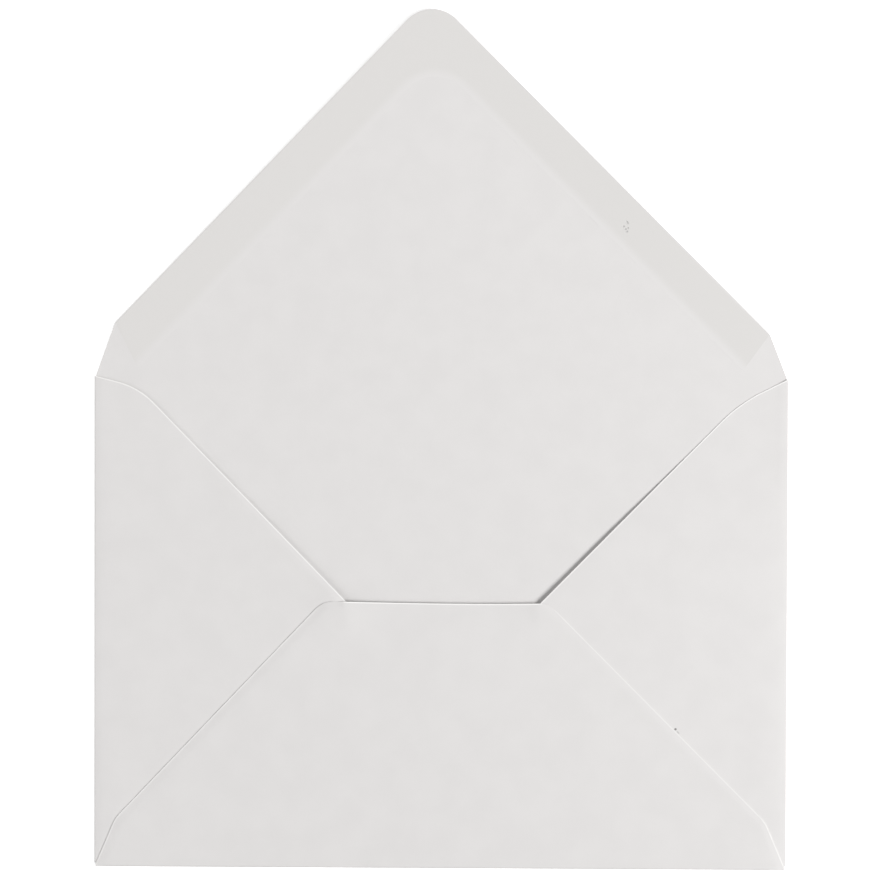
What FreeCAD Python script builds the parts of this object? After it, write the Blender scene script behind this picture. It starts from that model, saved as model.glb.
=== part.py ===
import FreeCAD, Part
import math
import os

# A pointed-flap envelope, lying on its address side with the top flap opened out.
# Millimetres. X runs across the envelope, Y towards the tip of the top flap, Z up.
# The origin is the middle of the address side's outer face, which lies on Z = 0.
# The blank is one sheet of paper: a front panel, a top flap, two side flaps and a
# bottom flap. The side flaps are folded in over the front panel first. The bottom
# flap is folded up over them and glued to them along its two slanting edges.

# Sheet and adhesives. The clearance keeps the curved faces of the glue and of the flaps
# on each side of it apart.
paper = 0.15
seam_glue = 0.05
seam_glue_clearance = 0.08
flap_gum = 0.03

# Finished size, closed
body_width = 162.0
body_height = 115.2

# Folds and pocket
side_fold_gap = 0.2
pocket_gape = 0.7
score_width = 0.6
score_depth = 0.04
flap_lift_degrees = 0.6

# Top flap. Its tip stands a little left of the middle and its left shoulder is the
# taller one, because the blank was cut slightly askew.
flap_reach = 89.25
flap_tip_shift = -3.0
flap_tip_radius = 8.2
flap_shoulder_inset = 4.4
flap_shoulder_rise_left = 12.1
flap_shoulder_rise_right = 10.1
flap_shoulder_radius = 2.5

# Side flaps
side_flap_relief = 0.5
side_shoulder_inset_left = 10.3
side_shoulder_drop_left = 3.1
side_shoulder_radius_left = 26.0
side_shoulder_inset_right = 11.4
side_shoulder_drop_right = 6.1
side_shoulder_radius_right = 50.0
side_tip_from_middle_left = 17.8
side_tip_from_middle_right = 19.0
side_tip_cover = 4.3
side_tip_radius = 4.0

# Bottom flap. Its top edge, which is the throat of the pocket, is cut a little hollow
# and stands higher at its left end.
bottom_flap_height = 62.1
bottom_flap_top_left = 27.5
bottom_flap_top_right = 25.2
bottom_flap_top_radius = 6.0
throat_rise_left = 0.25
throat_dip = 0.3
throat_dip_from_middle = 5.0
throat_dip_radius = 800.0
bottom_shoulder_inset = 4.9
bottom_shoulder_rise = 11.3
bottom_shoulder_radius = 7.0

# Adhesive strips
gum_width_left = 10.0
gum_width_right = 9.5
gum_edge_margin = 0.3
gum_inner_tip_radius = 9.0
gum_end_rise = 1.5
glue_width = 4.5
glue_edge_margin = 0.5

# Where the folds and edges lie
side_fold_radius = side_fold_gap / 2
seam_gap = seam_glue + 2 * seam_glue_clearance
bottom_fold_gap = side_fold_gap + paper + seam_gap
bottom_fold_radius = bottom_fold_gap / 2
fold_x = body_width / 2 - paper - side_fold_radius
crease_y = body_height / 2
fold_y = paper + bottom_fold_radius - body_height / 2
throat_y = bottom_flap_height - body_height / 2
side_flap_z = paper + side_fold_gap
seam_glue_z = side_flap_z + paper + seam_glue_clearance
bottom_flap_z = side_flap_z + paper + seam_gap
flap_tip_y = crease_y + flap_reach
flap_length = flap_reach / math.cos(math.radians(flap_lift_degrees))

# The pocket's swell is sampled this often each way for the smooth surface through it.
SWELL_SAMPLES = 13
# A cutting prism reaches this far above and below the paper.
PRISM_REACH = 20.0
# A rounded corner takes at most this share of the shorter run beside it.
CORNER_SHARE = 0.48
# Points closer together than this are one point.
SAME_POINT = 1e-6


def rounded_outline(corners):
    """Closed wire on Z = 0 through (x, y, radius) corners, each corner rounded by an arc."""
    count = len(corners)
    points = [FreeCAD.Vector(x, y, 0) for x, y, radius in corners]
    edges = []
    ends = []
    for i in range(count):
        here = points[i]
        back = points[i - 1] - here
        ahead = points[(i + 1) % count] - here
        half_angle = back.getAngle(ahead) / 2
        run = min(back.Length, ahead.Length) * CORNER_SHARE
        radius = min(corners[i][2], run * math.tan(half_angle))
        if radius <= 0:
            ends.append((here, here))
            continue
        back.normalize()
        ahead.normalize()
        start = here + back * (radius / math.tan(half_angle))
        end = here + ahead * (radius / math.tan(half_angle))
        inward = (back + ahead).normalize()
        middle = here + inward * (radius / math.sin(half_angle) - radius)
        edges.append(Part.Arc(start, middle, end).toShape())
        ends.append((start, end))
    for i in range(count):
        start = ends[i][1]
        end = ends[(i + 1) % count][0]
        if (end - start).Length > SAME_POINT:
            edges.append(Part.LineSegment(start, end).toShape())
    return Part.Wire(Part.__sortEdges__(edges))


def prism(corners):
    """Upright prism of an outline, tall enough to cut any layer of the paper."""
    face = Part.Face(rounded_outline(corners))
    face.translate(FreeCAD.Vector(0, 0, -PRISM_REACH))
    return face.extrude(FreeCAD.Vector(0, 0, 2 * PRISM_REACH))


def swell(x, y):
    """How far the flaps stand off the flat at a point: nothing at the folds, most at the throat.

    Squaring the share of the way to the fold keeps the swell nearly level across the middle.
    """
    across = math.cos(math.pi / 2 * (x / fold_x) ** 2)
    up = min(1.0, (y - fold_y) / (throat_y - fold_y))
    return pocket_gape * across * math.sin(math.pi / 2 * up)


def swollen_layer(z, thickness):
    """Layer over the whole body that follows the swell of the pocket, its underside from height z."""
    rows = []
    for i in range(SWELL_SAMPLES):
        x = fold_x * (2 * i / (SWELL_SAMPLES - 1) - 1)
        row = []
        for j in range(SWELL_SAMPLES):
            y = fold_y + (crease_y - fold_y) * j / (SWELL_SAMPLES - 1)
            row.append(FreeCAD.Vector(x, y, z + swell(x, y)))
        rows.append(row)
    surface = Part.BSplineSurface()
    surface.interpolate(rows)
    return surface.toShape().extrude(FreeCAD.Vector(0, 0, thickness))


def half_ring(centre, outward, radius, along):
    """Bend of the paper round a fold: half a ring about a centre, drawn out along the fold."""
    up = FreeCAD.Vector(0, 0, 1)
    inner = [centre - up * radius, centre + outward * radius, centre + up * radius]
    outer = [centre + (point - centre) * ((radius + paper) / radius) for point in inner]
    wire = Part.Wire([
        Part.Arc(*inner).toShape(),
        Part.LineSegment(inner[2], outer[2]).toShape(),
        Part.Arc(outer[2], outer[1], outer[0]).toShape(),
        Part.LineSegment(outer[0], inner[0]).toShape(),
    ])
    return Part.Face(wire).extrude(along)


def side_outline(side):
    """Corners of a side flap in plan. Side is -1 for the left flap and 1 for the right one."""
    left = side < 0
    inset = side_shoulder_inset_left if left else side_shoulder_inset_right
    drop = side_shoulder_drop_left if left else side_shoulder_drop_right
    radius = side_shoulder_radius_left if left else side_shoulder_radius_right
    tip = side_tip_from_middle_left if left else side_tip_from_middle_right
    shoulder_x = body_width / 2 - inset
    bottom_y = -body_height / 2
    return [
        (side * fold_x, crease_y - side_flap_relief, 0),
        (side * shoulder_x, crease_y - drop, radius),
        (side * tip, throat_y - side_tip_cover, side_tip_radius),
        (side * shoulder_x, bottom_y + drop, radius),
        (side * fold_x, bottom_y + paper + bottom_fold_radius + side_flap_relief, 0),
    ]


def bottom_outline():
    """Corners of the bottom flap in plan."""
    shoulder_x = body_width / 2 - bottom_shoulder_inset
    shoulder_y = bottom_shoulder_rise - body_height / 2
    return [
        (-fold_x, fold_y, 0),
        (-shoulder_x, shoulder_y, bottom_shoulder_radius),
        (-bottom_flap_top_left, throat_y + throat_rise_left, bottom_flap_top_radius),
        (throat_dip_from_middle, throat_y - throat_dip, throat_dip_radius),
        (bottom_flap_top_right, throat_y, bottom_flap_top_radius),
        (shoulder_x, shoulder_y, bottom_shoulder_radius),
        (fold_x, fold_y, 0),
    ]


def top_flap_corners():
    """Left shoulder, tip and right shoulder of the top flap in plan, each with its radius."""
    shoulder_x = body_width / 2 - flap_shoulder_inset
    return [
        (-shoulder_x, crease_y + flap_shoulder_rise_left, flap_shoulder_radius),
        (flap_tip_shift, flap_tip_y, flap_tip_radius),
        (shoulder_x, crease_y + flap_shoulder_rise_right, flap_shoulder_radius),
    ]


def panel_and_top_flap_outline():
    """Corners of the front panel and the opened top flap in plan."""
    base_y = crease_y - side_flap_relief
    return [
        (-fold_x, fold_y, 0),
        (-fold_x, base_y, 0),
        *top_flap_corners(),
        (fold_x, base_y, 0),
        (fold_x, fold_y, 0),
    ]


def inset_line(start, end, distance):
    """Line from start to end, moved to its right by a distance, as a point and a direction."""
    direction = (end - start).normalize()
    return start + FreeCAD.Vector(direction.y, -direction.x, 0) * distance, direction


def crossing(first, second):
    """Where two lines in plan meet."""
    point_a, along_a = first
    point_b, along_b = second
    gap = point_b - point_a
    share = (gap.x * along_b.y - gap.y * along_b.x) / (along_a.x * along_b.y - along_a.y * along_b.x)
    return point_a + along_a * share


def gum_outline():
    """Corners of the gum band: along both straight edges of the top flap and round its tip."""
    left, tip, right = [FreeCAD.Vector(x, y, 0) for x, y, radius in top_flap_corners()]
    outer_left = inset_line(left, tip, gum_edge_margin)
    outer_right = inset_line(tip, right, gum_edge_margin)
    inner_left = inset_line(left, tip, gum_width_left)
    inner_right = inset_line(tip, right, gum_width_right)
    end_line = (FreeCAD.Vector(0, crease_y + gum_end_rise, 0), FreeCAD.Vector(1, 0, 0))
    outer_tip = crossing(outer_left, outer_right)
    inner_tip = crossing(inner_left, inner_right)
    end_left = crossing(inner_left, end_line)
    end_right = crossing(inner_right, end_line)
    start_left = outer_left[0]
    start_right = outer_right[0] + outer_right[1] * (right - tip).Length
    return [
        (start_left.x, start_left.y, 0),
        (outer_tip.x, outer_tip.y, flap_tip_radius - gum_edge_margin),
        (start_right.x, start_right.y, 0),
        (end_right.x, end_right.y, 0),
        (inner_tip.x, inner_tip.y, gum_inner_tip_radius),
        (end_left.x, end_left.y, 0),
    ]


def glue_outline(side):
    """Corners of one seam's glue strip, just inside the bottom flap's slanting edge."""
    corners = bottom_outline()
    low, high = corners[1:3] if side < 0 else corners[-3:-1]
    start = FreeCAD.Vector(low[0], low[1], 0)
    end = FreeCAD.Vector(high[0], high[1], 0)
    outer, along = inset_line(start, end, glue_edge_margin)
    inner, along = inset_line(start, end, glue_edge_margin + glue_width)
    run = along * (end - start).Length
    strip = [outer, outer + run, inner + run, inner]
    return [(point.x, point.y, 0) for point in strip]


def lifted(start_y, start_z, thickness):
    """Section of the opened top flap: a strip that rises from the crease at its lift angle."""
    angle = math.radians(flap_lift_degrees)
    run = FreeCAD.Vector(0, math.cos(angle), math.sin(angle)) * flap_length
    up = FreeCAD.Vector(0, -math.sin(angle), math.cos(angle)) * thickness
    low = FreeCAD.Vector(0, start_y, start_z)
    return low, low + run, low + run + up, low + up


def panel_and_top_flap():
    """Front panel and opened top flap, with the scored crease between them."""
    bend, far_low, far_high, bend_high = lifted(crease_y, 0, paper)
    along = (far_high - bend_high).normalize()
    near_low = FreeCAD.Vector(0, fold_y, 0)
    near_high = FreeCAD.Vector(0, fold_y, paper)
    score_near = FreeCAD.Vector(0, crease_y - score_width / 2, paper)
    score_far = bend_high + along * (score_width / 2)
    score_low = FreeCAD.Vector(0, crease_y, paper - score_depth)
    wire = Part.Wire([
        Part.LineSegment(near_low, bend).toShape(),
        Part.LineSegment(bend, far_low).toShape(),
        Part.LineSegment(far_low, far_high).toShape(),
        Part.LineSegment(far_high, score_far).toShape(),
        Part.Arc(score_far, score_low, score_near).toShape(),
        Part.LineSegment(score_near, near_high).toShape(),
        Part.LineSegment(near_high, near_low).toShape(),
    ])
    section = Part.Face(wire)
    section.translate(FreeCAD.Vector(-fold_x, 0, 0))
    slab = section.extrude(FreeCAD.Vector(2 * fold_x, 0, 0))
    return slab.common(prism(panel_and_top_flap_outline()))


def side_flap(side):
    """One side flap with the bend that joins it to the front panel."""
    outline = side_outline(side)
    low_y = outline[-1][1]
    centre = FreeCAD.Vector(side * fold_x, low_y, paper + side_fold_radius)
    along = FreeCAD.Vector(0, outline[0][1] - low_y, 0)
    bend = half_ring(centre, FreeCAD.Vector(side, 0, 0), side_fold_radius, along)
    return [bend, swollen_layer(side_flap_z, paper).common(prism(outline))]


def bottom_flap():
    """The bottom flap with the bend that joins it to the front panel."""
    centre = FreeCAD.Vector(-fold_x, fold_y, paper + bottom_fold_radius)
    along = FreeCAD.Vector(2 * fold_x, 0, 0)
    bend = half_ring(centre, FreeCAD.Vector(0, -1, 0), bottom_fold_radius, along)
    return [bend, swollen_layer(bottom_flap_z, paper).common(prism(bottom_outline()))]


def envelope_sheet():
    """The whole folded sheet as one solid."""
    pieces = [*side_flap(-1), *side_flap(1), *bottom_flap()]
    return panel_and_top_flap().fuse(pieces).removeSplitter()


def gum_band():
    """Dried gum on the inner face of the top flap."""
    bend_high = lifted(crease_y, 0, paper)[3]
    corners = lifted(bend_high.y, bend_high.z, flap_gum)
    section = Part.Face(Part.makePolygon([*corners, corners[0]]))
    section.translate(FreeCAD.Vector(-fold_x, 0, 0))
    slab = section.extrude(FreeCAD.Vector(2 * fold_x, 0, 0))
    return slab.common(prism(gum_outline()))


def glue_strip(side):
    """Glue between the bottom flap and one side flap."""
    layer = swollen_layer(seam_glue_z, seam_glue)
    inside_flaps = prism(side_outline(side)).common(prism(bottom_outline()))
    return layer.common(prism(glue_outline(side))).common(inside_flaps)


def export(name, shape):
    """Writes one node's STEP file and prints what it holds."""
    solids = shape.Solids
    result = solids[0] if len(solids) == 1 else shape
    result.exportStep(os.path.join("parts", name + ".step"))
    state = "valid" if shape.isValid() else "NOT VALID"
    print(name, len(solids), "solid", round(shape.Volume, 3), "mm3", state)


os.makedirs("parts", exist_ok=True)
export("envelope_sheet", envelope_sheet())
export("flap_gum", gum_band())
export("seam_glue_left", glue_strip(-1))
export("seam_glue_right", glue_strip(1))
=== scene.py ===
import logging
import math
from collections.abc import Callable
from dataclasses import dataclass
from enum import Enum
from typing import Any

import bpy
from bpy.types import Material, Node, NodeSocket, NodeTree, Object
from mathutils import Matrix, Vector


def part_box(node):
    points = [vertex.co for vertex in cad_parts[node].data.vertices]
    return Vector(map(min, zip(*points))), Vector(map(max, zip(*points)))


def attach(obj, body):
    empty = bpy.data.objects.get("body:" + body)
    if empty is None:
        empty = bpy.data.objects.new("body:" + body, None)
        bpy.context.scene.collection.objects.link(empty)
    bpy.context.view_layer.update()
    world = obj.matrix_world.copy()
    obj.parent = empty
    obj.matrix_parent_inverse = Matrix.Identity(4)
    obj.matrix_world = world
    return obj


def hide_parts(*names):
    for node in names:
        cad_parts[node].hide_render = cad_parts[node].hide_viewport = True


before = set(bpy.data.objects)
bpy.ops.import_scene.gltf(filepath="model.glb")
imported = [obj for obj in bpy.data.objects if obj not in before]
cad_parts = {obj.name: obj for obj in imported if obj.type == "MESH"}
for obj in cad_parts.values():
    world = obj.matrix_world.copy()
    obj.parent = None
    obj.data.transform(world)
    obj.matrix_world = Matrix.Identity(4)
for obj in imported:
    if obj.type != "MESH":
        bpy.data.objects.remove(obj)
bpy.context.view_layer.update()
sheet_low, sheet_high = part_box("envelope_sheet")

log = logging.getLogger("envelope")

MM = 0.001
# Points closer together than this are one point
SAME_POINT = 1e-6
MERGE_DISTANCE = SAME_POINT * 10
# A rounded corner is trimmed by straight cuts that turn by this much from one to the next
TURN_STEP = math.radians(5)
# A rounded corner takes at most this share of the shorter run beside it
CORNER_SHARE = 0.48
# Stands for no cut edge near by
FAR = 50 * MM
# Faces that meet at less than this are shaded as one surface
SMOOTH_ANGLE = math.radians(35)
# A mark is at full strength out to this share of its reach
MARK_CORE = 0.55
# The paper is divided at these shares of the reach of a bend, and of an end of the throat
BEND_CUTS = (0.25, 0.5, 0.75, 1)
END_CUTS = (-1, -0.5, 0, 0.5, 1, 2)


class Flap(Enum):
    """Part of the folded sheet that a face or point belongs to."""

    PANEL = 0
    TOP = 1
    LEFT = 2
    RIGHT = 3
    BOTTOM = 4

    @property
    def side(self) -> int:
        """-1 for the left side flap, 1 for the right one and 0 for the rest."""
        return {Flap.LEFT: -1, Flap.RIGHT: 1}.get(self, 0)

    @property
    def pick(self) -> int:
        """Which value of a left and right pair is a side flap's own."""
        return 1 if self is Flap.RIGHT else 0


# The flaps in the order in which they are folded and cut
FLAPS = (Flap.LEFT, Flap.RIGHT, Flap.BOTTOM, Flap.TOP)


@dataclass(frozen=True)
class Corner:
    """Corner of an outline in plan, with the radius that it is rounded to."""

    x: float
    y: float
    radius: float = 0.0

    @property
    def point(self) -> Vector:
        """The sharp corner as a point on the floor."""
        return Vector((self.x, self.y, 0))


@dataclass(frozen=True)
class CutLine:
    """Straight cut through the paper, seen in plan.

    Glow says how strong the painted highlight along the cut edge is, from 0 for a plain edge to 1.
    """

    point: Vector
    outward: Vector
    glow: float = 0.0

    def depth(self, place: Vector) -> float:
        """Distance of a place inside the cut, less than nothing outside it."""
        return (self.point - place).xy.dot(self.outward.xy)

    def moved_in(self, distance: float) -> "CutLine":
        """The same line, moved inwards by a distance."""
        return CutLine(self.point - self.outward * distance, self.outward, self.glow)


def cut_lines(corners: list[Corner], glows: list[float] | None = None) -> list[CutLine]:
    """Works out the cuts that trim paper to an outline with rounded corners.

    Args:
        corners: Corners in order, from one end of the outline to the other. Between the
            ends the outline is open, because the paper goes on there.
        glows: How strong the painted highlight along each straight edge is, one value for each run of
            the outline.

    Returns:
        One cut for each straight run, and several tangents round each rounded corner.
    """
    points = [corner.point for corner in corners]
    middle = sum(points, Vector()) / len(points)
    runs = list(zip(points, points[1:]))
    glows = glows or [0.0] * len(runs)
    normals = []
    for start, end in runs:
        along = (end - start).normalized()
        normal = Vector((along.y, -along.x, 0))
        if normal.dot(start - middle) < 0:
            normal.negate()
        normals.append(normal)
    lines = [CutLine(run[0], normal, glow) for run, normal, glow in zip(runs, normals, glows)]
    for i, corner in enumerate(corners[1:-1]):
        before, after = normals[i], normals[i + 1]
        turn = before.angle(after)
        shorter = min((end - start).length for start, end in runs[i:i + 2])
        radius = min(corner.radius, shorter * CORNER_SHARE / math.tan(turn / 2))
        if radius <= 0:
            continue
        outward = (before + after).normalized()
        centre = corner.point - outward * (radius / math.cos(turn / 2))
        steps = math.ceil(turn / TURN_STEP)
        for k in range(1, steps):
            share = k / steps
            normal = before.slerp(after, share)
            glow = glows[i] * (1 - share) + glows[i + 1] * share
            lines.append(CutLine(centre + normal * radius, normal, glow))
    return lines


def straight_cuts(corners: list[Corner]) -> list[CutLine]:
    """One cut for each straight run of an outline whose corners are left sharp."""
    return cut_lines([Corner(corner.x, corner.y) for corner in corners])


def level_cut(y: float, facing: int = 1) -> CutLine:
    """A cut straight across the envelope that faces up it, or down it with -1."""
    return CutLine(Vector((0, y, 0)), Vector((0, facing, 0)))


def crossing(first: CutLine, second: CutLine) -> Vector:
    """Where two lines meet in plan."""
    along = Vector((first.outward.y, -first.outward.x, 0))
    return first.point + along * (second.depth(first.point) / second.outward.dot(along))


def deselect_all() -> None:
    """Leaves every object unselected, in object mode."""
    if bpy.context.mode != "OBJECT":
        bpy.ops.object.mode_set(mode="OBJECT")
    bpy.ops.object.select_all(action="DESELECT")


def add_grid(name: str, low: tuple[float, float], high: tuple[float, float], height: float,
             cell: float) -> Object:
    """Adds a flat grid of nearly square cells at its size and place.

    Args:
        name: Name of the new piece.
        low: Lowest corner in plan.
        high: Highest corner in plan.
        height: Height above the floor.
        cell: Size of a cell.

    Returns:
        The new object, which sits at the origin.
    """
    deselect_all()
    width, length = high[0] - low[0], high[1] - low[1]
    bpy.ops.mesh.primitive_grid_add(
        x_subdivisions=round(width / cell), y_subdivisions=round(length / cell), size=1,
        location=((low[0] + high[0]) / 2, (low[1] + high[1]) / 2, height),
    )
    grid = bpy.context.active_object
    grid.name = grid.data.name = name
    grid.scale = (width, length, 1)
    bpy.ops.object.transform_apply(location=True, rotation=True, scale=True)
    return grid


def select_in_mesh(piece: Object, kind: str, chosen: Callable[..., bool]) -> None:
    """Selects faces by their centre or edges by their two ends, and stays in edit mode.

    Args:
        piece: The active object.
        kind: FACE or EDGE.
        chosen: Test on a face's centre, or on an edge's two ends.
    """
    bpy.ops.object.mode_set(mode="EDIT")
    bpy.ops.mesh.select_mode(type=kind)
    bpy.ops.mesh.select_all(action="DESELECT")
    bpy.ops.object.mode_set(mode="OBJECT")
    mesh = piece.data
    if kind == "FACE":
        for face in mesh.polygons:
            face.select = chosen(face.center)
    else:
        for edge in mesh.edges:
            ends = [mesh.vertices[index].co for index in edge.vertices]
            edge.select = chosen(*ends)
    bpy.ops.object.mode_set(mode="EDIT")


def cut_faces(piece: Object, chosen: Callable[[Vector], bool], lines: list[CutLine],
              trim: bool = True) -> None:
    """Cuts some of a mesh's faces along straight lines.

    Args:
        piece: The active object.
        chosen: Test on a face's centre that says which faces are cut.
        lines: The cuts.
        trim: True to take off what lies outside each cut, False to only divide the faces.
    """
    select_in_mesh(piece, "FACE", chosen)
    bpy.ops.mesh.hide(unselected=True)
    for line in lines:
        bpy.ops.mesh.select_all(action="SELECT")
        bpy.ops.mesh.bisect(
            plane_co=line.point, plane_no=line.outward, clear_outer=trim, threshold=SAME_POINT,
        )
    bpy.ops.mesh.reveal(select=False)
    bpy.ops.object.mode_set(mode="OBJECT")


def extrude_along(path: list[Vector]) -> None:
    """Draws the selected edges out along a path, which begins where they are now."""
    for here, ahead in zip(path, path[1:]):
        bpy.ops.mesh.extrude_edges_move(TRANSFORM_OT_translate={"value": ahead - here})


def thicken(piece: Object, thickness: float, offset: float) -> None:
    """Gives a surface its thickness and closes its edges.

    Args:
        piece: The object, which becomes the active one.
        thickness: Thickness of the wall.
        offset: 0 for a wall on both sides of the surface, 1 for one outside it.
    """
    deselect_all()
    piece.select_set(True)
    bpy.context.view_layer.objects.active = piece
    solidify = piece.modifiers.new("thickness", "SOLIDIFY")
    solidify.thickness = thickness
    solidify.offset = offset
    solidify.use_even_offset = True
    bpy.ops.object.modifier_apply(modifier=solidify.name)
    bpy.ops.object.shade_smooth_by_angle(angle=SMOOTH_ANGLE)


def smooth(share: float) -> float:
    """Eases a share in and out, from 0 at or below 0 to 1 at or above 1."""
    share = min(1.0, max(0.0, share))
    return share * share * (3 - 2 * share)


def step(value: float, middle: float, width: float) -> float:
    """Eases a value from 0 to 1 across a step of a width about its middle."""
    return smooth((value - middle) / width + 0.5)


def merge_doubles() -> None:
    """Merges points of the active mesh that lie together and turns its faces the same way."""
    bpy.ops.object.mode_set(mode="EDIT")
    bpy.ops.mesh.select_all(action="SELECT")
    bpy.ops.mesh.remove_doubles(threshold=MERGE_DISTANCE)
    bpy.ops.mesh.normals_make_consistent(inside=False)
    bpy.ops.object.mode_set(mode="OBJECT")


def write_attribute(piece: Object, name: str, kind: str, values: list[float] | list[int]) -> None:
    """Stores one value for each point of a mesh, of the kind FLOAT or INT."""
    attribute = piece.data.attributes.new(name, kind, "POINT")
    attribute.data.foreach_set("value", values)


def linear(code: str) -> tuple[float, float, float, float]:
    """Turns six hex digits of an sRGB colour into linear red, green, blue and alpha."""
    levels = [int(code[i:i + 2], 16) / 255 for i in (0, 2, 4)]
    return *[v / 12.92 if v <= 0.04045 else ((v + 0.055) / 1.055) ** 2.4 for v in levels], 1.0


def add_node(tree: NodeTree, kind: str, inputs: dict[Any, Any] | None = None,
             **settings: Any) -> Node:
    """Adds a node with its settings and links.

    Args:
        tree: The node tree.
        kind: The node's type.
        inputs: For each input, by name or number, its value or the output that feeds it.
        **settings: The node's own properties.

    Returns:
        The new node.
    """
    node = tree.nodes.new(kind)
    for name, value in settings.items():
        setattr(node, name, value)
    for key, value in (inputs or {}).items():
        if isinstance(value, NodeSocket):
            tree.links.new(value, node.inputs[key])
        else:
            node.inputs[key].default_value = value
    return node


def new_material(name: str) -> tuple[Material, NodeTree]:
    """Makes a material with an empty node tree.

    Args:
        name: Name of the material.

    Returns:
        The material and its node tree.
    """
    material = bpy.data.materials.new(name)
    material.use_nodes = True
    material.node_tree.nodes.clear()
    return material, material.node_tree


def dress(piece: Object, material: Material) -> None:
    """Puts a material on the whole of a piece.

    Args:
        piece: The object.
        material: The material.
    """
    if not piece.material_slots:
        piece.data.materials.append(material)
    for slot in piece.material_slots:
        slot.material = material


def blend(tree: NodeTree, share: NodeSocket, under: Any, over: Any) -> NodeSocket:
    """Mixes a share of a second colour over a first one. Each is a value or an output."""
    mixed = add_node(tree, "ShaderNodeMix", {0: share, 6: under, 7: over}, data_type="RGBA")
    return mixed.outputs[2]


def combine(tree: NodeTree, operation: str, first: Any, second: Any) -> NodeSocket:
    """Adds a sum, product or other combination of two numbers."""
    return add_node(tree, "ShaderNodeMath", {0: first, 1: second}, operation=operation).outputs[0]


def noise(tree: NodeTree, place: NodeSocket, size: float, detail: float) -> NodeSocket:
    """Adds a noise whose patches are about as large as a size."""
    inputs = {"Vector": place, "Scale": 1 / size, "Detail": detail}
    return add_node(tree, "ShaderNodeTexNoise", inputs).outputs[0]


def ramp(tree: NodeTree, value: NodeSocket, start: float, end: float, eased: bool = False) -> NodeSocket:
    """Adds a rise from 0, where a value is at its start, to 1, where it is at its end."""
    node = add_node(
        tree, "ShaderNodeMapRange", {"Value": value, "From Min": start, "From Max": end},
        interpolation_type="SMOOTHSTEP" if eased else "LINEAR",
    )
    return node.outputs["Result"]


def stored(tree: NodeTree, name: str) -> NodeSocket:
    """Adds the value that the mesh stores for each point under a name."""
    return add_node(tree, "ShaderNodeAttribute", attribute_name=name).outputs["Fac"]


@dataclass(frozen=True)
class Surface:
    """How a surface takes the light."""

    roughness: float
    refraction: float
    specular: float

    def close(self, tree: NodeTree, colour: NodeSocket, normal: NodeSocket) -> None:
        """Adds the shader and links it to the material's output."""
        shader = add_node(
            tree, "ShaderNodeBsdfPrincipled",
            {"Base Color": colour, "Roughness": self.roughness, "IOR": self.refraction,
             "Specular IOR Level": self.specular, "Normal": normal},
        )
        add_node(tree, "ShaderNodeOutputMaterial", {"Surface": shader.outputs[0]})


@dataclass(frozen=True)
class Mark:
    """Small spot: its middle, its half sizes along the three axes, and its turn in plan."""

    middle: tuple[float, float, float]
    reach: tuple[float, float, float]
    turn: float = 0.0

    def mask(self, tree: NodeTree, place: NodeSocket) -> NodeSocket:
        """Adds nodes that are 1 in the middle of the mark and 0 outside it.

        Args:
            tree: The node tree.
            place: The coordinates.

        Returns:
            The output with the mask.
        """
        local = add_node(
            tree, "ShaderNodeMapping",
            {"Vector": place, "Location": self.middle, "Rotation": (0, 0, self.turn),
             "Scale": self.reach},
            vector_type="TEXTURE",
        )
        away = add_node(tree, "ShaderNodeVectorMath", {0: local.outputs[0]}, operation="LENGTH")
        return ramp(tree, away.outputs["Value"], 1.0, MARK_CORE, eased=True)


# Dents of the small scuff on the top flap: their places, half sizes and turns in plan
SCUFF_HEIGHT = 0.55 * MM
SCUFF_REACH = 0.3 * MM
SCUFF = tuple(
    Mark((x * MM, y * MM, SCUFF_HEIGHT), (wide * MM, long * MM, SCUFF_REACH), math.radians(turn))
    for x, y, wide, long, turn in (
        (43.05, 93.7, 0.24, 0.55, 28),
        (42.24, 92.74, 0.3, 0.25, 0),
        (43.22, 92.38, 0.26, 0.26, 0),
        (42.68, 92.14, 0.3, 0.24, 0),
        (42.99, 91.58, 0.3, 0.28, 0),
    )
)


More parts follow.
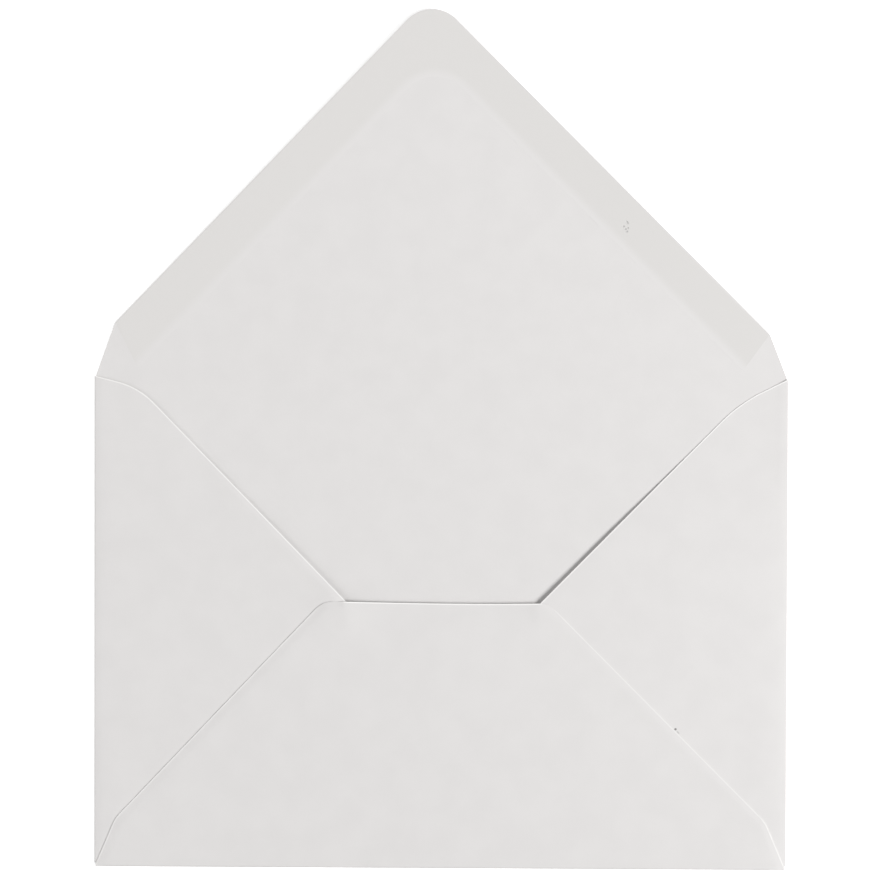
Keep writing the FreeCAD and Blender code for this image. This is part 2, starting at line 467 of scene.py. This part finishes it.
@dataclass(frozen=True)
class WovePaper:
    """Uncoated wove writing paper, about 120 g per square metre.

    Pulp dries in faint clouds of more and less fibre, and its surface has a fine tooth and no
    gloss. A painted highlight lies along the cut edges, where they catch the light, partly
    the bare fibre's own lighter tone.
    """

    clear: str = "E1DFDE"
    cloudy: str = "DFDDDC"
    # Colour of the painted highlight along the cut edges, partly the bare fibre's own lighter tone
    fibre_and_highlight: str = "FBFAF8"
    dirt: str = "8C8B89"
    cloud_size: float = 7 * MM
    cloud_detail: float = 3.0
    # The clouds go from cloudy to clear between these two values of the noise.
    cloud_range: tuple[float, float] = (0.35, 0.65)
    # Real fibre is 0.03 mm thick. The tooth is drawn this coarse to show at this distance.
    tooth_size: float = 0.7 * MM
    tooth_detail: float = 2.0
    tooth_height: float = 0.008 * MM
    # Width of the painted highlight along the cut edges
    highlight_width: float = 0.34 * MM
    # A speck on the right seam, and the faint smear beside it.
    speck: Mark = Mark((55.0 * MM, -24.75 * MM, 1.0 * MM), (0.38 * MM, 0.34 * MM, 0.5 * MM))
    tail: Mark = Mark(
        (55.6 * MM, -25.5 * MM, 1.0 * MM), (0.25 * MM, 0.6 * MM, 0.5 * MM), math.radians(40))
    tail_share: float = 0.3
    surface: Surface = Surface(roughness=0.92, refraction=1.5, specular=0.3)

    def material(self) -> Material:
        """Makes the material.

        Returns:
            The material, which reads Object coordinates and the sheet's own attributes.
        """
        material, tree = new_material("wove_paper")
        place = add_node(tree, "ShaderNodeTexCoord").outputs["Object"]
        clouds = noise(tree, place, self.cloud_size, self.cloud_detail)
        density = ramp(tree, clouds, *self.cloud_range)
        colour = blend(tree, density, linear(self.cloudy), linear(self.clear))
        # Painted highlight along the cut edges
        colour = blend(tree, self.edge_highlight_mask(tree), colour, linear(self.fibre_and_highlight))
        colour = blend(tree, self.speck.mask(tree, place), colour, linear(self.dirt))
        smear = combine(tree, "MULTIPLY", self.tail.mask(tree, place), self.tail_share)
        colour = blend(tree, smear, colour, linear(self.dirt))
        tooth = noise(tree, place, self.tooth_size, self.tooth_detail)
        toothed = add_node(tree, "ShaderNodeBump", {"Height": tooth, "Distance": self.tooth_height})
        self.surface.close(tree, colour, toothed.outputs[0])
        return material

    def edge_highlight_mask(self, tree: NodeTree) -> NodeSocket:
        """Adds the mask of the painted highlight along the cut edges, partly the lighter bare fibre."""
        near = ramp(tree, stored(tree, "edge_depth"), self.highlight_width, self.highlight_width / 2, eased=True)
        return combine(tree, "MULTIPLY", near, stored(tree, "edge_highlight"))


@dataclass(frozen=True)
class DriedGum:
    """Remoistenable gum, rolled on wet and dried to a thin clear film.

    The film darkens the paper a little, warms it, and gives it a soft shine. It was rolled on
    thicker towards the right, and it thins out at its inner edge. A small scuff has broken it
    into dents that catch the light on one side.
    """

    bare_paper: str = "E0DEDD"
    thin_film: str = "DDDBD9"
    thick_film: str = "D9D7D5"
    # The film goes from thin to thick between these two places across the envelope.
    thin_until: float = -40.0 * MM
    thick_from: float = 40.0 * MM
    # The roller leaves faint bands this far apart.
    band_spacing: float = 2.5 * MM
    band_detail: float = 3.0
    band_share: float = 0.25
    ripple_height: float = 0.01 * MM
    # Width over which the film thins out, read from the film's own attribute.
    fade: float = 0.0
    dents: tuple[Mark, ...] = ()
    dent_shade: str = "C6C5C3"
    dent_depth: float = 0.08 * MM
    surface: Surface = Surface(roughness=0.6, refraction=1.48, specular=0.4)

    def material(self, name: str) -> Material:
        """Makes the material.

        Args:
            name: Name of the material.

        Returns:
            The material, which reads Object coordinates.
        """
        material, tree = new_material(name)
        place = add_node(tree, "ShaderNodeTexCoord").outputs["Object"]
        film = noise(tree, place, self.band_spacing, self.band_detail)
        sideways = add_node(tree, "ShaderNodeSeparateXYZ", {0: place}).outputs["X"]
        across = ramp(tree, sideways, self.thin_until, self.thick_from)
        thickness = add_node(tree, "ShaderNodeMix", {0: self.band_share, 2: across, 3: film})
        colour = blend(tree, thickness.outputs[0], linear(self.thin_film), linear(self.thick_film))
        if self.fade > 0:
            cover = ramp(tree, stored(tree, "film_depth"), 0.0, self.fade, eased=True)
            colour = blend(tree, cover, linear(self.bare_paper), colour)
        relief = add_node(tree, "ShaderNodeBump", {"Height": film, "Distance": self.ripple_height})
        for dent in self.dents:
            mask = dent.mask(tree, place)
            colour = blend(tree, mask, colour, linear(self.dent_shade))
            relief = add_node(
                tree, "ShaderNodeBump",
                {"Height": mask, "Distance": self.dent_depth, "Normal": relief.outputs[0]}, invert=True,
            )
        self.surface.close(tree, colour, relief.outputs[0])
        return material


@dataclass
class FoldedSheet:
    """One sheet of paper: a front panel with four flaps, three of them folded in and glued.

    The side flaps lie on the panel, the bottom flap lies over them, and the top flap is
    opened out. Between the folds the flaps swell, so that the pocket gapes a little.
    """

    paper: float = 0.15 * MM
    cell: float = 2.0 * MM
    bend_steps: int = 8
    body_width: float = sheet_high.x - sheet_low.x
    body_height: float = -2 * sheet_low.y
    side_fold_radius: float = 0.1 * MM
    bottom_fold_radius: float = 0.28 * MM
    pocket_gape: float = 0.7 * MM
    score_depth: float = 0.04 * MM
    flap_lift: float = math.radians(0.6)
    # Beside a side fold the paper springs up this much, most at this distance from the fold.
    spring_height: tuple[float, float] = (0.04 * MM, 0.14 * MM)
    spring_distance: float = 5.0 * MM
    # The flaps stand up a little where the throat meets the side flaps, left and right.
    corner_lift: tuple[float, float] = (0.45 * MM, 0.2 * MM)
    corner_reach: float = 6.5 * MM
    # The bottom flap's right rim, over the side flap, lies a little lower than the rest.
    rim_drop: float = 0.07 * MM
    rim_width: float = 6.6 * MM
    rim_step: float = 5.0 * MM
    # Its glued edges are pressed down by this much, over this reach.
    seam_press: float = 0.175 * MM
    seam_reach: float = 2.3 * MM
    # So are the throat's ends and the side flaps' free edges, over a shorter reach.
    throat_press: float = 0.19 * MM
    edge_press: tuple[float, float] = (0.18 * MM, 0.03 * MM)
    press_reach: float = 1.5 * MM
    # Between the side flaps nothing holds the throat up, so it hangs a little lower.
    sag: float = 0.2 * MM
    sag_width: float = 4.0 * MM
    sag_reach: float = 12.0 * MM
    # Above the throat the side flaps sink back on the panel, between these two heights.
    settle_from: float = 14.0 * MM
    settle_to: float = 46.0 * MM
    settle_gap: tuple[float, float] = (0.27 * MM, 0.03 * MM)

    flap_reach: float = 89.25 * MM
    flap_tip_shift: float = -3.0 * MM
    flap_tip_radius: float = 8.2 * MM
    flap_shoulder_inset: float = 4.4 * MM
    flap_shoulder_rise: tuple[float, float] = (12.1 * MM, 10.1 * MM)
    flap_shoulder_radius: float = 2.5 * MM
    side_flap_relief: float = 0.5 * MM
    side_shoulder_inset: tuple[float, float] = (10.3 * MM, 11.4 * MM)
    side_shoulder_drop: tuple[float, float] = (3.1 * MM, 6.1 * MM)
    side_shoulder_radius: tuple[float, float] = (26.0 * MM, 50.0 * MM)
    side_tip_from_middle: tuple[float, float] = (17.8 * MM, 19.0 * MM)
    side_tip_cover: float = 4.3 * MM
    side_tip_radius: float = 4.0 * MM
    bottom_flap_height: float = 62.1 * MM
    throat_dip: float = 0.3 * MM
    throat_dip_from_middle: float = 5.0 * MM
    throat_rise_left: float = 0.25 * MM
    # Below the throat the hollow fades out over this many cells.
    fade_cells: int = 5
    # The left fold leans outwards by this much of its height, which fades out at the shoulder.
    left_fold_lean: float = 0.0052
    bottom_flap_top: tuple[float, float] = (27.5 * MM, 25.2 * MM)
    bottom_flap_top_radius: float = 6.0 * MM
    bottom_shoulder_inset: float = 4.9 * MM
    bottom_shoulder_rise: float = 11.3 * MM
    bottom_shoulder_radius: float = 7.0 * MM
    cut_area: float = 0.0412

    # Between these two places, where it meets the side flaps, the throat stands over the bare panel.
    throat_span: tuple[float, float] = (-22.6 * MM, 23.3 * MM)
    # Strength of the painted highlight along the cut edges, where they catch the light: the throat, the
    # side flaps, the seams and their short ends.
    throat_glow: float = 1.0
    side_glow: tuple[float, float] = (0.75, 0.85)
    seam_glow: tuple[float, float] = (0.5, 0.35)
    seam_end_glow: tuple[float, float] = (0.4, 0.55)
    # Beside the ends of the throat the painted highlight on the bottom flap's edge starts only this far
    # below them.
    glow_from: float = 1.05 * MM

    def __post_init__(self) -> None:
        """Works out where the folds and layers lie."""
        self.piece: Object | None = None
        self.middle = self.paper / 2
        self.side_bend = self.side_fold_radius + self.middle
        self.bottom_bend = self.bottom_fold_radius + self.middle
        self.fold_x = self.body_width / 2 - self.paper - self.side_fold_radius
        self.crease_y = self.body_height / 2
        self.fold_y = self.paper + self.bottom_fold_radius - self.body_height / 2
        self.throat_y = self.bottom_flap_height - self.body_height / 2
        self.side_level = self.middle + 2 * self.side_bend
        self.bottom_level = self.middle + 2 * self.bottom_bend
        self.base_y = self.crease_y - self.side_flap_relief
        self.side_foot_y = self.fold_y + self.side_flap_relief

    def build(self) -> Object:
        """Builds the sheet.

        Returns:
            The finished piece.
        """
        self.piece = add_grid(
            "envelope_paper", (-self.fold_x, self.fold_y), (self.fold_x, self.crease_y), self.middle,
            self.cell,
        )
        relief = [level_cut(self.side_foot_y), level_cut(self.base_y)]
        cut_faces(self.piece, lambda centre: True, relief, trim=False)
        for flap in FLAPS:
            self.fold_over(flap)
        for flap in FLAPS:
            cut_faces(self.piece, self.face_test(flap), cut_lines(self.corners(flap)))
        self.divide_at_bends()
        merge_doubles()
        self.shape()
        thicken(self.piece, self.paper, 0)
        self.press_crease()
        self.write_edges()
        self.hollow_throat()
        self.lean_left_fold()
        return self.piece

    def corners(self, flap: Flap) -> list[Corner]:
        """Outline of a flap in plan, from one end of its fold to the other.

        Args:
            flap: The flap.

        Returns:
            Its corners.
        """
        if flap is Flap.TOP:
            shoulder_x = self.body_width / 2 - self.flap_shoulder_inset
            left, right = [self.crease_y + rise for rise in self.flap_shoulder_rise]
            return [
                Corner(-self.fold_x, self.base_y),
                Corner(-shoulder_x, left, self.flap_shoulder_radius),
                Corner(self.flap_tip_shift, self.crease_y + self.flap_reach, self.flap_tip_radius),
                Corner(shoulder_x, right, self.flap_shoulder_radius),
                Corner(self.fold_x, self.base_y),
            ]
        if flap is Flap.BOTTOM:
            shoulder_x = self.body_width / 2 - self.bottom_shoulder_inset
            shoulder_y = self.bottom_shoulder_rise - self.body_height / 2
            left, right = self.bottom_flap_top
            return [
                Corner(-self.fold_x, self.fold_y),
                Corner(-shoulder_x, shoulder_y, self.bottom_shoulder_radius),
                Corner(-left, self.throat_y + self.throat_rise_left, self.bottom_flap_top_radius),
                Corner(right, self.throat_y, self.bottom_flap_top_radius),
                Corner(shoulder_x, shoulder_y, self.bottom_shoulder_radius),
                Corner(self.fold_x, self.fold_y),
            ]
        side, k = flap.side, flap.pick
        shoulder_x = self.body_width / 2 - self.side_shoulder_inset[k]
        drop = self.side_shoulder_drop[k]
        radius = self.side_shoulder_radius[k]
        return [
            Corner(side * self.fold_x, self.base_y),
            Corner(side * shoulder_x, self.crease_y - drop, radius),
            Corner(side * self.side_tip_from_middle[k], self.throat_y - self.side_tip_cover,
                   self.side_tip_radius),
            Corner(side * shoulder_x, drop - self.body_height / 2, radius),
            Corner(side * self.fold_x, self.side_foot_y),
        ]

    def glows(self, flap: Flap) -> list[float]:
        """How strong the painted highlight along each straight cut edge of a flap is, in the order of
        its corners.

        Args:
            flap: The flap.

        Returns:
            One value for each run of the outline.
        """
        if flap is Flap.TOP:
            return [0.0] * 4
        if flap is Flap.BOTTOM:
            left, right = self.seam_glow
            left_end, right_end = self.seam_end_glow
            return [left_end, left, self.throat_glow, right, right_end]
        glow = self.side_glow[flap.pick]
        return [glow, glow, 0.0, 0.0]

    def face_test(self, flap: Flap) -> Callable[[Vector], bool]:
        """Test that tells a flap's flat faces by the place of their centre, before the swell.

        Args:
            flap: The flap.

        Returns:
            The test.
        """
        near = self.middle / 2
        if flap is Flap.TOP:
            return lambda centre: centre.y > self.base_y and centre.z < self.middle + near or (
                centre.y > self.crease_y)
        level = self.bottom_level if flap is Flap.BOTTOM else self.side_level
        return lambda centre: (
            abs(centre.z - level) < near and centre.y < self.crease_y and flap.side * centre.x >= 0
            and abs(centre.x) < self.fold_x and centre.y > self.fold_y)

    def bend(self, centre: Vector, outward: Vector, radius: float) -> list[Vector]:
        """Points of a half turn of the paper from the panel's level up to the flap's.

        Args:
            centre: Centre of the bend.
            outward: Direction away from the panel.
            radius: Radius of the paper's middle.

        Returns:
            The points, in order.
        """
        angles = [math.pi * k / self.bend_steps for k in range(self.bend_steps + 1)]
        up = Vector((0, 0, 1))
        return [centre + (outward * math.sin(angle) - up * math.cos(angle)) * radius for angle in angles]

    def fold_over(self, flap: Flap) -> None:
        """Draws a flap out of the panel's edge, round its fold and on to its full length.

        Args:
            flap: The flap.
        """
        if flap is Flap.TOP:
            start = Vector((0, self.crease_y, self.middle))
            run = Vector((0, 1, math.tan(self.flap_lift))) * self.flap_reach
            path = [start]
        elif flap is Flap.BOTTOM:
            outward = Vector((0, -1, 0))
            centre = Vector((0, self.fold_y, self.middle + self.bottom_bend))
            path = self.bend(centre, outward, self.bottom_bend)
            run = Vector((0, self.throat_y + self.throat_rise_left - self.fold_y, 0))
        else:
            outward = Vector((flap.side, 0, 0))
            centre = Vector((flap.side * self.fold_x, 0, self.middle + self.side_bend))
            path = self.bend(centre, outward, self.side_bend)
            run = outward * (self.side_tip_from_middle[flap.pick] - self.fold_x)
        steps = round(run.length / self.cell)
        path += [path[-1] + run * (k / steps) for k in range(1, steps + 1)]
        select_in_mesh(self.piece, "EDGE", lambda a, b: self.on_fold(flap, a) and self.on_fold(flap, b))
        extrude_along(path)
        bpy.ops.object.mode_set(mode="OBJECT")

    def on_fold(self, flap: Flap, place: Vector) -> bool:
        """Says whether a point of the flat panel lies on a flap's fold.

        Args:
            flap: The flap.
            place: The point.

        Returns:
            True if it does.
        """
        if abs(place.z - self.middle) > SAME_POINT:
            return False
        if flap is Flap.TOP:
            return abs(place.y - self.crease_y) < SAME_POINT
        if flap is Flap.BOTTOM:
            return abs(place.y - self.fold_y) < SAME_POINT
        in_reach = self.side_foot_y - SAME_POINT < place.y < self.base_y + SAME_POINT
        return in_reach and abs(place.x - flap.side * self.fold_x) < SAME_POINT

    def seams(self) -> list[CutLine]:
        """The bottom flap's two slanting edges, and the two short ones below them."""
        left_end, left, _, right, right_end = straight_cuts(self.corners(Flap.BOTTOM))
        return [left, right, left_end, right_end]

    def free_edge(self, flap: Flap) -> CutLine:
        """The slanting edge of a side flap, from its shoulder to its tip."""
        return straight_cuts(self.corners(flap))[1]

    def divide_at_bends(self) -> None:
        """Divides the flaps' faces where the paper is pressed down, so that it can bend there."""
        pressed = [self.press_reach * share for share in BEND_CUTS]
        lines = [level_cut(self.throat_y).moved_in(depth) for depth in pressed]
        for seam in self.seams():
            lines += [seam.moved_in(self.seam_reach * share) for share in BEND_CUTS]
        for x, inward in zip(self.throat_span, (1, -1)):
            end = CutLine(Vector((x, 0, 0)), Vector((-inward, 0, 0)))
            lines += [end.moved_in(self.press_reach * share) for share in END_CUTS]
        cut_faces(self.piece, self.face_test(Flap.BOTTOM), lines, trim=False)
        for flap in (Flap.LEFT, Flap.RIGHT):
            lines = [self.free_edge(flap).moved_in(depth) for depth in pressed]
            cut_faces(self.piece, self.face_test(flap), lines, trim=False)

    def swell(self, x: float, y: float) -> float:
        """How far the flaps stand off the flat at a place in plan.

        Args:
            x: Place across the envelope.
            y: Place up the envelope.

        Returns:
            The height: nothing at the folds, most at the middle of the throat.
        """
        across = max(0.0, math.cos(math.pi / 2 * (x / self.fold_x) ** 2))
        up = min(1.0, max(0.0, (y - self.fold_y) / (self.throat_y - self.fold_y)))
        gape = self.pocket_gape * across * math.sin(math.pi / 2 * up)
        inside = max(0.0, self.fold_x - abs(x)) / self.spring_distance
        spring = self.spring_height[0] if x < 0 else self.spring_height[1]
        for lift, end in zip(self.corner_lift, self.throat_span):
            away = math.hypot(x - end, y - self.throat_y) / self.corner_reach
            gape += lift * math.exp(-away * away)
        return gape + spring * inside * math.exp(1 - inside)

    def inside_throat(self, place: Vector) -> float:
        """How far a place lies between the ends of the throat, less than nothing beside it."""
        return min(place.x - self.throat_span[0], self.throat_span[1] - place.x)

    def lowering(self, place: Vector) -> float:
        """How far the bottom flap is down at a place: at its glued edges, at the throat and at its rim.

        Args:
            place: The place, before the swell.

        Returns:
            The drop.
        """
        depths = [seam.depth(place) for seam in self.seams()]
        inside, below = self.inside_throat(place), self.throat_y - place.y
        drops = [self.seam_press * smooth(1 - depth / self.seam_reach) for depth in depths]
        end = self.throat_press * smooth(-inside / self.press_reach)
        drops.append(end * smooth(1 - below / self.press_reach))
        sag = self.sag * smooth(inside / self.sag_width) * smooth(1 - below / self.sag_reach)
        rim = self.rim_drop * (1 - step(depths[1], self.rim_width, self.rim_step))
        drops.append(sag + rim)
        return max(drops)

    def settle(self, flap: Flap, place: Vector) -> float:
        """How far a side flap is down at a place: on the panel above the throat, and at its free edge.

        Args:
            flap: The side flap.
            place: The place, before the swell.

        Returns:
            The drop.
        """
        press, gap = self.edge_press[flap.pick], self.settle_gap[flap.pick]
        room = 2 * self.side_fold_radius + self.swell(place.x, place.y) - gap
        above = smooth((place.y - self.settle_from) / (self.settle_to - self.settle_from))
        off_fold = smooth(2 * (self.fold_x - abs(place.x)) / self.spring_distance)
        depth = self.free_edge(flap).depth(place)
        return room * above * off_fold + press * (1 - above) * smooth(1 - depth / self.press_reach)

    def flap_of(self, place: Vector) -> Flap:
        """Which part of the sheet a point belongs to, before the swell.

        Args:
            place: The point.

        Returns:
            The part.
        """
        if place.y > self.base_y + SAME_POINT and place.z < self.side_level - self.middle or (
                place.y > self.crease_y + SAME_POINT):
            return Flap.TOP
        if place.z > self.bottom_level - self.middle:
            return Flap.BOTTOM
        if place.z > self.side_level - self.middle / 2:
            return Flap.LEFT if place.x < 0 else Flap.RIGHT
        return Flap.PANEL

    def shape(self) -> None:
        """Swells the folded flaps, and notes which part of the sheet each point belongs to."""
        parts = []
        for point in self.piece.data.vertices:
            flap = self.flap_of(point.co)
            parts.append(flap.value)
            if flap is Flap.BOTTOM:
                point.co.z += self.swell(point.co.x, point.co.y) - self.lowering(point.co)
            elif flap in (Flap.LEFT, Flap.RIGHT):
                point.co.z += self.swell(point.co.x, point.co.y) - self.settle(flap, point.co)
        write_attribute(self.piece, "flap", "INT", parts)

    def press_crease(self) -> None:
        """Sinks the scored crease into the upper face."""
        for point in self.piece.data.vertices:
            if abs(point.co.y - self.crease_y) < self.middle and point.co.z > self.middle:
                point.co.z -= self.score_depth

    def write_edges(self) -> None:
        """Stores how far each point lies inside its flap's cut edge, and how strong the painted
        highlight along that edge is.
        """
        mesh = self.piece.data
        lines = {flap.value: cut_lines(self.corners(flap), self.glows(flap))
                 for flap in Flap if flap is not Flap.PANEL}
        depths, glows = [], []
        for part, point in zip(mesh.attributes["flap"].data, mesh.vertices):
            nearest = min(lines.get(part.value, []), key=lambda line: line.depth(point.co), default=None)
            depths.append(nearest.depth(point.co) if nearest else FAR)
            share = self.glow_share(point.co) if part.value == Flap.BOTTOM.value else 1.0
            glows.append(nearest.glow * share if nearest else 0.0)
        write_attribute(self.piece, "edge_depth", "FLOAT", depths)
        # Strength of the painted highlight at each point
        write_attribute(self.piece, "edge_highlight", "FLOAT", glows)

    def glow_share(self, place: Vector) -> float:
        """How much of the painted highlight on the bottom flap's edge shows at a place: none at the
        throat's ends.
        """
        lower = (self.throat_y - place.y - self.glow_from) / self.press_reach
        return max(step(self.inside_throat(place), 0, self.cell), smooth(lower))

    def hollow_throat(self) -> None:
        """Draws the bottom flap's top edge down a little between its ends."""
        mesh = self.piece.data
        ends = -self.bottom_flap_top[0], self.bottom_flap_top[1]
        for part, point in zip(mesh.attributes["flap"].data, mesh.vertices):
            away = point.co.x - self.throat_dip_from_middle
            share = away / ((ends[1] if away > 0 else ends[0]) - self.throat_dip_from_middle)
            near = 1 - (self.throat_y - point.co.y) / (self.fade_cells * self.cell)
            if part.value == Flap.BOTTOM.value and share < 1 and near > 0:
                point.co.y -= self.throat_dip * (1 - share * share) * smooth(near)

    def lean_left_fold(self) -> None:
        """Turns the left fold a little out of square with the others."""
        shoulder_y = self.crease_y + self.flap_shoulder_rise[0]
        for point in self.piece.data.vertices:
            if point.co.x < 0:
                fade = min(1.0, max(0.0, (shoulder_y - point.co.y) / self.flap_shoulder_rise[0]))
                point.co.x *= 1 + self.left_fold_lean * fade * point.co.y / self.fold_x

    def top_of_flap(self, y: float) -> float:
        """Height of the opened top flap's upper face at a place up the envelope."""
        middle = self.middle + (y - self.crease_y) * math.tan(self.flap_lift)
        return middle + self.middle / math.cos(self.flap_lift)


@dataclass
class GumBand:
    """Dried gum on the top flap, along its two straight edges and round its tip."""

    sheet: FoldedSheet
    film: float = 0.03 * MM
    width: tuple[float, float] = (11.2 * MM, 10.5 * MM)
    # The film thins out over this much of its width, at its inner edge.
    fade: float = 2.6 * MM
    fade_cuts: tuple[float, float] = (0.5, 1)
    edge_margin: float = 0.3 * MM
    inner_tip_radius: float = 9.0 * MM
    end_rise: float = 1.5 * MM

    def build(self) -> Object:
        """Builds the film.

        Returns:
            The finished piece.
        """
        sheet = self.sheet
        band = add_grid(
            "gum_film", (-sheet.fold_x, sheet.crease_y),
            (sheet.fold_x, sheet.crease_y + sheet.flap_reach), 0.0, sheet.cell,
        )
        outline, bare = self.outline(), self.bare_part()
        cut_faces(band, lambda centre: True, cut_lines(outline))
        inner = cut_lines(bare)
        fading = [line.moved_in(-self.fade * share) for line in inner[:2] for share in self.fade_cuts]
        cut_faces(band, lambda centre: True, inner + fading, trim=False)
        select_in_mesh(band, "FACE", lambda centre: all(line.depth(centre) > 0 for line in inner))
        bpy.ops.mesh.delete(type="FACE")
        merge_doubles()
        for point in band.data.vertices:
            point.co.z = sheet.top_of_flap(point.co.y)
        thicken(band, self.film, 1)
        depths = [max(-line.depth(point.co) for line in inner) for point in band.data.vertices]
        write_attribute(band, "film_depth", "FLOAT", depths)
        return band

    def inner_line(self, k: int) -> CutLine:
        """The band's inner edge on the left, for 0, or on the right, for 1."""
        edge = straight_cuts(self.sheet.corners(Flap.TOP))[1 + k]
        return edge.moved_in(self.width[k])

    def outline(self) -> list[Corner]:
        """Works out the outer outline of the band.

        Returns:
            Its corners, from the left end to the right one.
        """
        corners = self.sheet.corners(Flap.TOP)[1:4]
        left, right = [line.moved_in(self.edge_margin) for line in straight_cuts(corners)]
        tip = crossing(left, right)
        along = Vector((right.outward.y, -right.outward.x, 0))
        right_end = right.point + along * (corners[2].point - corners[1].point).length
        bare = self.bare_part()
        return [
            bare[0],
            Corner(left.point.x, left.point.y),
            Corner(tip.x, tip.y, self.sheet.flap_tip_radius - self.edge_margin),
            Corner(right_end.x, right_end.y),
            bare[-1],
        ]

    def bare_part(self) -> list[Corner]:
        """Works out the outline of the bare paper inside the band.

        Returns:
            Its corners, from the left end over the tip to the right end.
        """
        end = level_cut(self.sheet.crease_y + self.end_rise, -1)
        left, right = self.inner_line(0), self.inner_line(1)
        low_left, tip, low_right = crossing(left, end), crossing(left, right), crossing(right, end)
        return [
            Corner(low_left.x, low_left.y),
            Corner(tip.x, tip.y, self.inner_tip_radius),
            Corner(low_right.x, low_right.y),
        ]


@dataclass(frozen=True)
class Lamp:
    """Soft lamp, by the direction that it shines from and its share of the light on the floor."""

    name: str
    azimuth: float
    elevation: float
    distance: float
    size: float
    share: float


@dataclass
class Studio:
    """Pale floor, soft lamps, white surroundings and the camera."""

    lamps: tuple[Lamp, ...] = (
        Lamp("key_lamp", -11.0, 42.0, 1.0, 0.41, 0.6),
        Lamp("fill_lamp", 190.0, 30.0, 0.4, 0.36, 0.137),
        Lamp("back_lamp", 95.0, 40.0, 0.32, 0.1, 0.07),
    )
    sky_share: float = 0.27
    floor_size: float = 6.0
    floor_gap: float = 0.02 * MM
    floor_colour: str = "F2F2F1"
    floor_glow: float = 0.55
    # The photograph is square, and its frame covers this much of the floor.
    picture_width: float = 205.9 * MM
    picture_middle: tuple[float, float] = (-0.44 * MM, 42.55 * MM)
    picture_roll: float = math.radians(0.33)
    lens: float = 200.0
    sensor: float = 36.0

    def build(self) -> None:
        """Builds the surroundings."""
        self.add_floor()
        self.add_world()
        for lamp in self.lamps:
            self.add_lamp(lamp)
        self.add_camera()
        bpy.context.scene.view_settings.view_transform = "Standard"

    def seen_directly(self, tree: NodeTree) -> NodeSocket:
        """Adds nodes that are 1 for rays from the camera and for mirrored and refracted ones."""
        path = add_node(tree, "ShaderNodeLightPath").outputs
        either = combine(tree, "MAXIMUM", path["Is Camera Ray"], path["Is Glossy Ray"])
        return combine(tree, "MAXIMUM", either, path["Is Transmission Ray"])

    def add_floor(self) -> None:
        """Adds the floor, which looks white and keeps the envelope's shadow."""
        deselect_all()
        bpy.ops.mesh.primitive_plane_add(size=self.floor_size, location=(0, 0, -self.floor_gap))
        floor = bpy.context.active_object
        floor.name = "floor"
        bpy.ops.object.transform_apply(location=True, rotation=True, scale=True)
        material, tree = new_material("floor_card")
        card = add_node(tree, "ShaderNodeBsdfDiffuse", {"Color": linear(self.floor_colour)})
        glow = combine(tree, "MULTIPLY", self.seen_directly(tree), self.floor_glow)
        light = add_node(tree, "ShaderNodeEmission", {"Strength": glow})
        both = add_node(tree, "ShaderNodeAddShader", {0: card.outputs[0], 1: light.outputs[0]})
        add_node(tree, "ShaderNodeOutputMaterial", {"Surface": both.outputs[0]})
        dress(floor, material)

    def add_world(self) -> None:
        """Makes the surroundings white to look at and dim as a light."""
        world = bpy.data.worlds.new("surroundings")
        world.use_nodes = True
        tree = world.node_tree
        tree.nodes.clear()
        strength = add_node(
            tree, "ShaderNodeMapRange", {"Value": self.seen_directly(tree), "To Min": self.sky_share},
        )
        sky = add_node(tree, "ShaderNodeBackground", {"Strength": strength.outputs[0]})
        add_node(tree, "ShaderNodeOutputWorld", {"Surface": sky.outputs[0]})
        bpy.context.scene.world = world

    def add_lamp(self, lamp: Lamp) -> None:
        """Adds a soft lamp that points at the middle of the picture.

        Args:
            lamp: The lamp.
        """
        azimuth, elevation = math.radians(lamp.azimuth), math.radians(lamp.elevation)
        direction = Vector((
            math.cos(azimuth) * math.cos(elevation), math.sin(azimuth) * math.cos(elevation),
            math.sin(elevation),
        ))
        data = bpy.data.lights.new(lamp.name, "AREA")
        data.shape = "DISK"
        data.size = lamp.size
        spread = lamp.distance ** 2 + (lamp.size / 2) ** 2
        data.energy = math.pi ** 2 * spread * lamp.share / math.sin(elevation)
        light = bpy.data.objects.new(lamp.name, data)
        light.location = Vector((*self.picture_middle, 0)) + direction * lamp.distance
        light.rotation_euler = (-direction).to_track_quat("-Z", "Y").to_euler()
        bpy.context.scene.collection.objects.link(light)

    def add_camera(self) -> None:
        """Adds the camera, straight above the envelope as in the photograph."""
        data = bpy.data.cameras.new("camera")
        data.lens = self.lens
        data.sensor_width = self.sensor
        camera = bpy.data.objects.new("camera", data)
        camera.location = (*self.picture_middle, self.picture_width / self.sensor * self.lens)
        camera.rotation_euler = (0, 0, self.picture_roll)
        bpy.context.scene.collection.objects.link(camera)
        bpy.context.scene.camera = camera


def main() -> None:
    """Builds the envelope and its surroundings, and reports each piece."""
    logging.basicConfig(level=logging.INFO, format="%(message)s")
    deselect_all()

    sheet = FoldedSheet()
    paper = sheet.build()
    dress(paper, WovePaper().material())
    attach(paper, "root")
    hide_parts("envelope_sheet")

    band = GumBand(sheet)
    gum = band.build()
    dress(gum, DriedGum(fade=band.fade, dents=SCUFF).material("dried_gum"))
    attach(gum, "root")
    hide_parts("flap_gum")

    glue = DriedGum(thick_film="DCDAD5", thin_film="DFDDD9").material("seam_glue")
    strips = [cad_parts[name] for name in ("seam_glue_left", "seam_glue_right")]
    for strip in strips:
        dress(strip, glue)

    for piece in (paper, gum, *strips):
        log.info("%s: %d faces", piece.name, len(piece.data.polygons))
    Studio().build()


if __name__ == "__main__":
    main()
